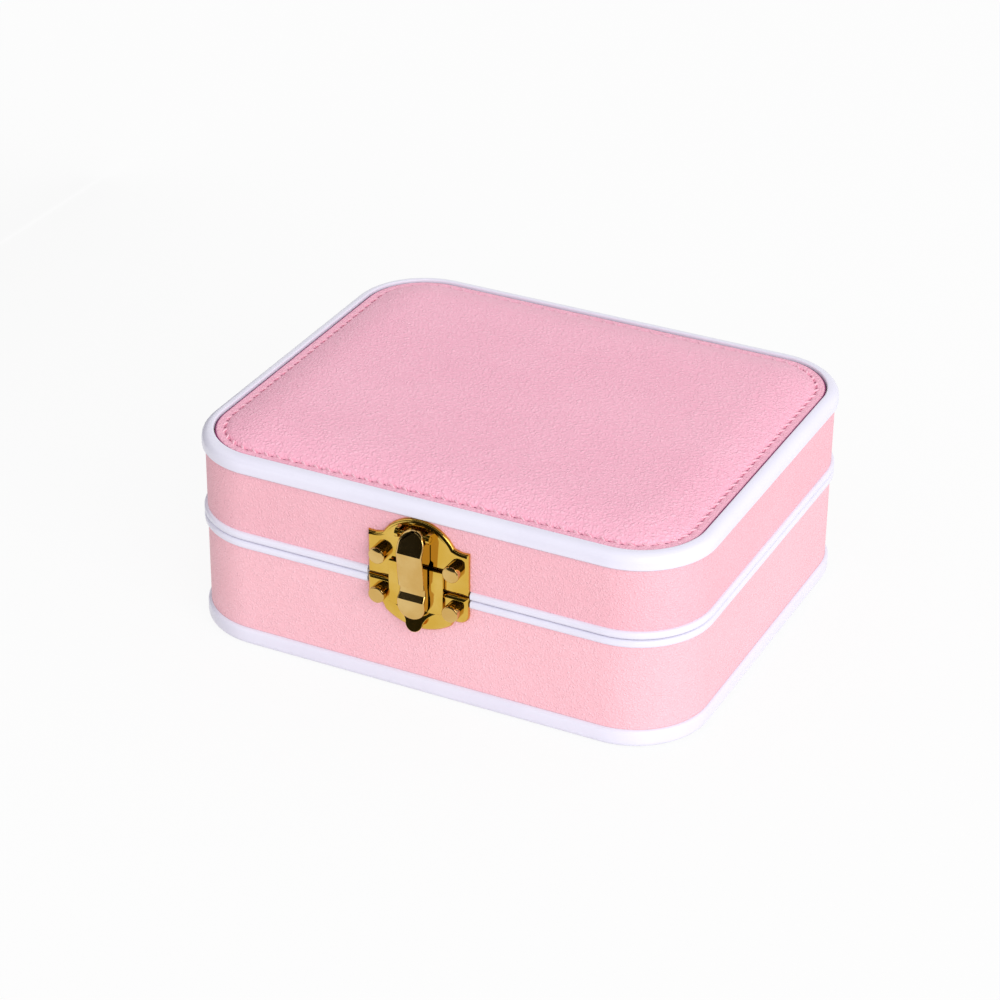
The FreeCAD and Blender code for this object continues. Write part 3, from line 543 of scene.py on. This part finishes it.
# %% [markdown]
# ## Metal pieces
# The latch and hinge pieces have the right form already. A copy of each mesh is merged, its flat
# triangles are dissolved into whole faces, and a small bevel gives the bright line that every plated edge
# shows. The two latch plates are stamped and the tongue is cast, so the rims of their faces are pillowed
# first: those are the sharp convex edges between a face that looks forward and a side. Depths are
# measured from the leather forwards.

# %% Plates, tongue, catch and hinges
MERGE = 2e-6
FLAT = math.radians(0.05)
CREASE = 28.0
LOOKS_FORWARD = -0.5
LOOKS_ASIDE = 0.2
SHARP_TURN = 0.9
PLATE_EDGE = 0.1 * MM
FINE_EDGE = 0.12 * MM
CATCH_EDGE = 0.15 * MM
UPPER_FACE = 1.2 * MM
LOWER_FACE = 1.5 * MM
TONGUE_ROOT = 3.0 * MM
TONGUE_FRONT = 9.0 * MM


def pillow(bm, nearest, farthest, radius):
    """Rounds the rims of the faces that look forward, between two depths in front of the leather."""
    rim = []
    for e in bm.edges:
        depths = [wall_low.y - v.co.y for v in e.verts]
        if len(e.link_faces) == 2 and nearest - HAIR < min(depths) and max(depths) < farthest + HAIR:
            facing = sorted(f.normal.y for f in e.link_faces)
            meets_side = facing[0] < LOOKS_FORWARD and abs(facing[1]) < LOOKS_ASIDE
            if meets_side and e.calc_face_angle_signed() > SHARP_TURN:
                rim.append(e)
    soften(bm, rim, radius)


def plated(name, body, edge_round, rim=None, crease=CREASE, finish=gold):
    bm = bmesh.new()
    bm.from_mesh(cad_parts[name].data)
    bmesh.ops.remove_doubles(bm, verts=bm.verts, dist=MERGE)
    bmesh.ops.dissolve_limit(bm, angle_limit=FLAT, verts=bm.verts, edges=bm.edges)
    if rim:
        pillow(bm, *rim)
    piece = make_piece(name + "_plated", bm, finish, body, [name], crease)
    rounding = piece.modifiers.new("edge", "BEVEL")
    rounding.width = edge_round
    rounding.segments = 3
    rounding.limit_method = "ANGLE"
    rounding.angle_limit = math.radians(CREASE)
    rounding.harden_normals = True
    weighting = piece.modifiers.new("flats", "WEIGHTED_NORMAL")
    weighting.keep_sharp = True


plated("latch_upper_plate", "lid", PLATE_EDGE, rim=(UPPER_FACE, UPPER_FACE, 1.0 * MM))
plated("latch_lower_plate", "base", PLATE_EDGE, rim=(LOWER_FACE, LOWER_FACE, 1.2 * MM))
plated("latch_tongue", "hasp", FINE_EDGE, rim=(TONGUE_ROOT, TONGUE_FRONT, 0.6 * MM), finish=gold_painted_reflection)
plated("latch_catch", "base", CATCH_EDGE, crease=3.0)
for metal, body in (
    ("latch_pin", "lid"),
    ("hinge_right_pin", "base"), ("hinge_left_pin", "base"),
    ("hinge_right_base_leaf", "base"), ("hinge_left_base_leaf", "base"),
    ("hinge_right_lid_leaf", "lid"), ("hinge_left_lid_leaf", "lid"),
):
    plated(metal, body, FINE_EDGE)

# %% [markdown]
# ## Nails
# A nail is turned, so it is made again from its solid's measures: a plain shank, and a head with a round
# rim and a slightly domed face. A row of vertices along that section is spun round the nail's axis. The
# nails of one kind share a solid, and the gaps along X tell them apart.

# %% Nails
NAIL_GAP = 1.0 * MM
BRIM = 0.9
CURVE_STEPS = 6
ROUND_STEPS = 40
LATCH_RIM = 0.35 * MM
HINGE_RIM = 0.2 * MM


def nail_points(name):
    """The points of a solid, sorted into one list for each nail."""
    points = sorted((v.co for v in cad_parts[name].data.vertices), key=lambda point: point.x)
    nails = [[points[0]]]
    for point in points[1:]:
        if point.x - nails[-1][-1].x > NAIL_GAP:
            nails.append([])
        nails[-1].append(point)
    return nails


def nail_section(around, radius, rim_round):
    """The nail's outline from its tail to the middle of its face: reach from the axis, place along it."""
    tail = min(y for _, y in around)
    front = max(y for _, y in around)
    brim = [y for reach, y in around if reach > BRIM * radius]
    seat = min(brim)
    brow = max(brim)
    shank = max(reach for reach, y in around if y < seat - HAIR)
    section = [(0.0, tail), (shank, tail), (shank, seat), (radius, seat)]
    for step in range(CURVE_STEPS + 1):
        turn = step * math.pi / (2 * CURVE_STEPS)
        section.append((radius - rim_round * (1 - math.cos(turn)), brow - rim_round * (1 - math.sin(turn))))
    for step in range(1, CURVE_STEPS + 1):
        left = 1 - step / CURVE_STEPS
        section.append(((radius - rim_round) * left, brow + (front - brow) * (1 - left * left)))
    return section


def turned_nails(name, body, facing, rim_round, finish):
    bm = bmesh.new()
    for nail in nail_points(name):
        heights = [point.z for point in nail]
        axis = Vector(((nail[0].x + nail[-1].x) / 2, 0.0, (min(heights) + max(heights)) / 2))
        radius = (nail[-1].x - nail[0].x) / 2
        around = [(math.hypot(point.x - axis.x, point.z - axis.z), point.y * facing) for point in nail]
        section = nail_section(around, radius, rim_round)
        verts = [bm.verts.new((axis.x + reach, y * facing, axis.z)) for reach, y in section]
        edges = [bm.edges.new(pair) for pair in zip(verts, verts[1:])]
        bmesh.ops.spin(bm, geom=verts + edges, cent=axis, axis=(0.0, 1.0, 0.0), angle=math.tau,
                       steps=ROUND_STEPS, use_merge=True)
    make_piece(name + "_plated", bm, finish, body, [name])


turned_nails("latch_upper_nails", "lid", -1, LATCH_RIM, gold_painted_reflection)
turned_nails("latch_lower_nails", "base", -1, LATCH_RIM, gold_painted_reflection)
turned_nails("hinge_lid_nails", "lid", 1, HINGE_RIM, gold)
turned_nails("hinge_base_nails", "base", 1, HINGE_RIM, gold)

# %% [markdown]
# ## Seam of the padded top
# The seam runs round the top at an even distance from its edge. A walk along that outline gives the place
# and the direction of every stitch, and a hole lies halfway between two of them.

# %% Seam
pad_low, pad_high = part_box("lid_top_cover")
PAD_EDGE = (pad_high.x - pad_low.x - LENGTH) / 2
SEAM_INSET = 2.7 * MM
STITCH = 3.6 * MM
HOLE_OUTSIDE = 0.15


def seam_walk(offset, spacing):
    """Places along an outline, evenly spaced, with the direction of travel at each."""
    radius = CORNER + offset
    sides = [(LENGTH / 2 + offset, DEPTH / 2 + offset), (DEPTH / 2 + offset, LENGTH / 2 + offset)] * 2
    total = sum(2 * (run - radius) + radius * math.pi / 2 for run, _ in sides)
    count = round(total / spacing)
    places = []
    for i in range(count):
        left = total * i / count
        for side, (run, reach) in enumerate(sides):
            straight = 2 * (run - radius)
            turn = Matrix.Rotation(side * math.pi / 2, 4, "Z")
            if left < straight:
                places.append((turn @ Vector((left - straight / 2, -reach, 0.0)), side * math.pi / 2))
                break
            left -= straight
            arc = radius * math.pi / 2
            if left < arc:
                bend = left / radius
                middle = Vector((straight / 2, radius - reach, 0.0))
                spot = middle + Vector((math.sin(bend), -math.cos(bend), 0.0)) * radius
                places.append((turn @ spot, side * math.pi / 2 + bend))
                break
            left -= arc
    return places


def seam_holes():
    """A hole lies halfway between two stitches, a little outside the seam's middle."""
    holes = []
    for place, heading in seam_walk(PAD_EDGE - SEAM_INSET, STITCH):
        along = Vector((math.cos(heading), math.sin(heading), 0.0))
        outwards = Vector((math.sin(heading), -math.cos(heading), 0.0))
        holes.append((place + along * (STITCH / 2) + outwards * HOLE_OUTSIDE * MM, heading))
    return holes


print(f"{len(seam_holes())} stitches")

# %% [markdown]
# ## Padded panel
# The top is a leather cushion: a flat border, a stitched seam that pulls the leather down, and a crown
# that swells over foam. Insetting one face again and again, each time at a new height, draws that section
# round the whole outline. Then every hole of the seam pulls the leather near it down a little, which
# puckers it between the stitches. The section is given in millimetres, as steps inwards and upwards.

# %% Padded panel
GAP = 0.3 * MM
SKIRT = 0.3 * MM
BORDER_TOP = pad_low.z + 0.77 * MM
BORDER = [(0.08, 0.22), (0.12, 0.15), (0.25, 0.08), (1.25, 0.02), (0.3, -0.06), (0.2, -0.22), (0.2, -0.2)]
CROWN = [(0.15, 0.2), (0.2, 0.28), (0.3, 0.3), (0.4, 0.27), (0.7, 0.3), (1.0, 0.36), (1.4, 0.43),
         (1.8, 0.47), (2.1, 0.42), (2.1, 0.26), (2.0, 0.12), (1.6, 0.04)]
EDGE_CUTS = 240
PUCKER_DEPTH = 0.2 * MM
PUCKER_REACH = 0.75


def padded_panel():
    bm = bmesh.new()
    face = case_sheet(bm, PAD_EDGE - GAP, pad_low.z, segments=60)
    long_edges = [e for e in face.edges if e.calc_length() > CORNER]
    bmesh.ops.subdivide_edges(bm, edges=long_edges, cuts=EDGE_CUTS)
    bm.faces.ensure_lookup_table()
    top = raise_faces(bm, [bm.faces[0]], SKIRT)
    for inwards, rise in BORDER + CROWN:
        bmesh.ops.inset_region(bm, faces=top, thickness=inwards * MM, depth=0.0, use_even_offset=True)
        bmesh.ops.translate(bm, vec=(0.0, 0.0, rise * MM), verts=list({v for f in top for v in f.verts}))
    return bm


def pucker(bm):
    """Lowers the leather round every hole of the seam."""
    holes = seam_holes()
    near = KDTree(len(holes))
    for i, (hole, _) in enumerate(holes):
        near.insert(hole, i)
    near.balance()
    for v in bm.verts:
        gap = near.find(Vector((v.co.x, v.co.y, 0.0)))[2] / MM
        v.co.z -= PUCKER_DEPTH * math.exp(-(gap / PUCKER_REACH) ** 2)


cushion = padded_panel()
pucker(cushion)
panel = make_piece("padded_panel", cushion, pad_leather, "lid", ["lid_top_cover"],
                   sharp=70.0)
print(f"pad top at {max(v.co.z for v in panel.data.vertices) * 1000:.2f} mm")

# %% [markdown]
# ## Painted shadow beside the padded panel
# A narrow gap stays open between the cushion and the edging. A dark ring is painted into it as the gap's
# shadow: it fills the gap to just below the border.

# %% Painted shadow beside the padded panel
GAP_SHADOW_BELOW = 0.3 * MM
GAP_SHADOW_OUT = 0.22 * MM
GAP_SHADOW_IN = 0.1 * MM


# A ring of painted shadow in the gap.
def gap_shadow_ring():
    bm = bmesh.new()
    outer = case_sheet(bm, PAD_EDGE - GAP + GAP_SHADOW_OUT, pad_low.z, segments=30)
    inner = case_sheet(bm, PAD_EDGE - GAP - GAP_SHADOW_IN, pad_low.z, segments=30)
    ring_between(bm, outer, inner, BORDER_TOP - GAP_SHADOW_BELOW - pad_low.z)
    return bm


make_piece("gap_shadow_ring", gap_shadow_ring(), gap_shadow_paint, "lid", [])

# %% [markdown]
# ## Stitches
# The seam is sewn with a thick thread. Each stitch dives into a hole at both ends and lies across the
# seam at a slant, which gives the saw-toothed line. A stitch is a stretched ball, and so is the painted
# shadow in each hole, a dark ball sunk into the seam. No two stitches have quite the same slant, and no
# two hole shadows the same length.

# %% Stitches
STITCH_SINK = 0.1 * MM
STITCH_SLANT = 36.0
STITCH_SWAY = 4.0
STITCH_HALVES = (1.3 * MM, 0.34 * MM, 0.36 * MM)
HOLE_SHADE_SINK = 0.42 * MM
HOLE_SHADE_SLANT = 40.0
HOLE_SHADE_SHORTEST = 0.45
HOLE_SHADE_LONGEST = 0.85
HOLE_SHADE_HALVES = (0.28 * MM, 0.22 * MM)
ALL_SMOOTH = 180.0


def stretched_ball(bm, place, sink, turn, halves):
    """A ball on the seam, a little below the border's top: half its length, width and height are given."""
    spot = Matrix.Translation(place + Vector((0.0, 0.0, BORDER_TOP - sink)))
    form = Matrix.Diagonal((*halves, 1.0))
    bmesh.ops.create_icosphere(bm, subdivisions=2, radius=1.0,
                               matrix=spot @ Matrix.Rotation(turn, 4, "Z") @ form)


def stitch_row():
    bm = bmesh.new()
    for place, heading in seam_walk(PAD_EDGE - SEAM_INSET, STITCH):
        turn = heading - math.radians(STITCH_SLANT + random.uniform(-STITCH_SWAY, STITCH_SWAY))
        stretched_ball(bm, place, STITCH_SINK, turn, STITCH_HALVES)
    return bm


# Painted shade: a dark ball sunk into each hole stands for the shadow inside it.
def painted_hole_shade_row():
    bm = bmesh.new()
    for hole, heading in seam_holes():
        half_length = random.uniform(HOLE_SHADE_SHORTEST, HOLE_SHADE_LONGEST) * MM
        turn = heading - math.radians(HOLE_SHADE_SLANT)
        stretched_ball(bm, hole, HOLE_SHADE_SINK, turn, (half_length, *HOLE_SHADE_HALVES))
    return bm


make_piece("seam_stitches", stitch_row(), thread, "lid", [], ALL_SMOOTH)
make_piece("seam_holes", painted_hole_shade_row(), painted_hole_shade, "lid", [], ALL_SMOOTH)

# %% [markdown]
# ## Tray
# Ring rolls are foam wrapped in velvet. A copy of each solid is remeshed into small even faces and
# smoothed, which rounds all its edges the way cloth over foam does. The dividers are covered boards with
# soft edges.

# %% Tray
ROLL_COUNT = 7
ROLL_VOXEL = 0.9 * MM
ROLL_ROUNDS = 8
DIVIDER_SOFT = 1.1 * MM


def ring_roll(name):
    bm = bmesh.new()
    bm.from_mesh(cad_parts[name].data)
    piece = make_piece(name + "_velvet", bm, velvet, "base", [name], ALL_SMOOTH)
    even = piece.modifiers.new("even", "REMESH")
    even.mode = "VOXEL"
    even.voxel_size = ROLL_VOXEL
    even.use_smooth_shade = True
    smooth = piece.modifiers.new("smooth", "SMOOTH")
    smooth.factor = 0.5
    smooth.iterations = ROLL_ROUNDS


def divider(name):
    low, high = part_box(name)
    bm = bmesh.new()
    made = bmesh.ops.create_cube(bm, size=1.0)
    bmesh.ops.scale(bm, vec=high - low, verts=made["verts"])
    bmesh.ops.translate(bm, vec=(low + high) / 2, verts=made["verts"])
    soften(bm, [e for e in bm.edges if max(v.co.z for v in e.verts) > high.z - HAIR], DIVIDER_SOFT)
    make_piece(name + "_velvet", bm, velvet, "base", [name])


for number in range(1, ROLL_COUNT + 1):
    ring_roll(f"ring_roll_{number}")
for name in ("long_divider", "cross_divider", "short_divider"):
    divider(name)

# %% [markdown]
# ## Mirror
# The mirror is a plate of glass with a ground edge, held by a padded velvet surround inside the lid. Both
# start from a rounded outline: one is a sheet drawn downwards with its lower rim bevelled, the other
# a ring with soft lower edges.

# %% Mirror
glass_low, glass_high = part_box("mirror")
frame_low, frame_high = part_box("mirror_surround")
GLASS_CORNER = 7.0 * MM
GLASS_SEGMENTS = 14
GROUND_EDGE = 0.7 * MM
GLASS_GAP = 0.3 * MM
SURROUND_EDGE = -4.4 * MM
SURROUND_SOFT = 1.2 * MM


def mirror_plate():
    bm = bmesh.new()
    size = glass_high - glass_low
    face = rounded_sheet(bm, size.x, size.y, GLASS_CORNER, glass_high.z, GLASS_SEGMENTS)
    lower = raise_faces(bm, [face], -size.z)
    soften(bm, list({e for f in lower for e in f.edges}), GROUND_EDGE, segments=1)
    return bm


def mirror_frame():
    bm = bmesh.new()
    size = glass_high - glass_low
    outside = case_sheet(bm, SURROUND_EDGE, frame_high.z, GLASS_SEGMENTS)
    window = rounded_sheet(bm, size.x + 2 * GLASS_GAP, size.y + 2 * GLASS_GAP, GLASS_CORNER + GLASS_GAP,
                           frame_high.z, GLASS_SEGMENTS)
    ring_between(bm, outside, window, frame_low.z - frame_high.z)
    lower = [e for e in bm.edges if max(v.co.z for v in e.verts) < frame_low.z + HAIR]
    corners = [e for e in lower if len(e.link_faces) == 2 and e.calc_face_angle() > SHARP_TURN]
    soften(bm, corners, SURROUND_SOFT)
    return bm


make_piece("mirror_plate", mirror_plate(), mirror_glass, "lid", ["mirror"], sharp=20.0)
surround = make_piece("mirror_frame", mirror_frame(), velvet, "lid", ["mirror_surround"],
                      sharp=50.0)

# %% [markdown]
# ## Pieces that keep their own mesh
# Boards, foam, flat linings and the bottom leather are plain flat pieces, so their solids stay and only
# get a finish. The beads at the seam keep theirs too, because of the gaps for the metalwork.

# %% Finishes for the solids that stay
STAYING = {
    "base_wall_board": fibreboard, "base_floor_board": fibreboard, "lid_wall_board": fibreboard,
    "lid_top_board": fibreboard, "lid_top_foam": foam_sheet, "base_bottom_leather": base_leather,
    "base_floor_lining": velvet, "lid_ceiling_lining": velvet, "base_rim_trim": white_edging,
    "lid_rim_trim": white_edging,
}
for name, finish in STAYING.items():
    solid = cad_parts[name]
    solid.data.materials.clear()
    solid.data.materials.append(finish)
print(f"{len(STAYING)} solids dressed")

# %% [markdown]
# ## Floor
# The studio has a plain pale floor. To the camera and in reflections it glows nearly white, as a lit
# backdrop does, and a tenth of it stays matte, which keeps the case's shadow. To all other light it is a
# matte grey.

# %% Floor
FLOOR_SIDE = 12.0
FLOOR_DROP = 0.1 * MM
FLOOR_GLOW = 0.9


def seen_rays(graph):
    """1 for what the camera or a reflection sees, and 0 for the light that falls on things."""
    camera_ray = graph.node("ShaderNodeLightPath", output="Is Camera Ray")
    return camera_ray + graph.node("ShaderNodeLightPath", output="Is Glossy Ray")


def floor_finish():
    finish, graph, shader = new_finish("pale_floor")
    finish.node_tree.nodes.remove(shader)
    matte = graph.node("ShaderNodeBsdfDiffuse", None, {"Color": (0.8, 0.8, 0.8, 1.0)})
    glow = graph.node("ShaderNodeEmission", None, {"Color": (1.0, 1.0, 1.0, 1.0), "Strength": 1.0})
    both = graph.node("ShaderNodeMixShader", None, {0: seen_rays(graph) * FLOOR_GLOW, 1: matte, 2: glow})
    feed(both, finish.node_tree.nodes["Material Output"], "Surface")
    return finish


def studio_sheet(name, place, width, height, finish):
    """A flat sheet that belongs to the studio and not to the case."""
    bm = bmesh.new()
    bmesh.ops.create_grid(bm, x_segments=1, y_segments=1, size=0.5,
                          matrix=place @ Matrix.Diagonal((width, height, 1.0, 1.0)))
    mesh = bpy.data.meshes.new(name)
    bm.to_mesh(mesh)
    bm.free()
    mesh.materials.append(finish)
    sheet = bpy.data.objects.new(name, mesh)
    scene.collection.objects.link(sheet)
    return sheet


studio_sheet("floor", Matrix.Translation((0.0, 0.0, -FLOOR_DROP)), FLOOR_SIDE, FLOOR_SIDE, floor_finish())
print("floor laid")

# %% [markdown]
# ## Light
# One large soft light stands far off at the front right, so that it falls nearly evenly over the case,
# and an even sky fills the shadows. The sky is a little weaker as light than it looks to the camera and
# in metal.

# %% Light
KEY_PLACE = Vector((2.42, -1.75, 1.25))
KEY_WIDTH = 2.38
KEY_POWER = 69.0
KEY_TARGET = Vector((0.0, 0.0, 0.03))
SKY_LIGHT = 0.8
SKY_EXTRA = 0.2

key = bpy.data.objects.new("key", bpy.data.lights.new("key", "AREA"))
key.data.size = KEY_WIDTH
key.data.energy = KEY_POWER
aim = (KEY_TARGET - KEY_PLACE).to_track_quat("-Z", "Y").to_matrix().to_4x4()
key.matrix_world = Matrix.Translation(KEY_PLACE) @ aim
scene.collection.objects.link(key)

world = bpy.data.worlds.new("studio")
world.use_nodes = True
scene.world = world
sky = world.node_tree.nodes["Background"]
sky.inputs["Color"].default_value = (1.0, 1.0, 1.0, 1.0)
feed(seen_rays(Value(world.node_tree)) * SKY_EXTRA + SKY_LIGHT, sky, "Strength")
scene.view_settings.view_transform = "Standard"
print(f"key light of {KEY_POWER:.0f} W, {KEY_PLACE.length:.1f} m away")

# %% [markdown]
# ## Dark cards
# Photographers hang dark cards to give bright metal contrast. Those overhead and in front are seen only
# in reflections. The front one reaches the floor only opposite the latch, so that the mirror in the open
# lid shows the pale floor beside it. The small one at the left also holds back the sky, which shades that
# side of the case.

# %% Dark cards
CARD_TILT = -58.7

dark_cloth = new_finish("dark_cloth", base_color=(0.01, 0.01, 0.01, 1.0))[0]


def dark_card(name, place, tilt, width, height, axis="X", shades=False):
    turn = Matrix.Rotation(math.radians(tilt), 4, axis)
    card = studio_sheet(name, Matrix.Translation(place) @ turn, width, height, dark_cloth)
    card.visible_camera = False
    card.visible_diffuse = shades
    card.visible_shadow = False
    card.visible_transmission = False


dark_card("card_above", (0.0, 0.05, 0.75), tilt=0.0, width=1.1, height=1.1)
dark_card("card_in_front", (-0.49, -0.6042, 0.748), CARD_TILT, width=2.22, height=1.518)
dark_card("card_below", (0.181, -0.1808, 0.052), CARD_TILT, width=0.538, height=0.1123)
dark_card("card_at_left", (-0.25, 0.045, 0.066), tilt=90.0, width=0.13, height=0.27, axis="Y", shades=True)
print("cards hung")
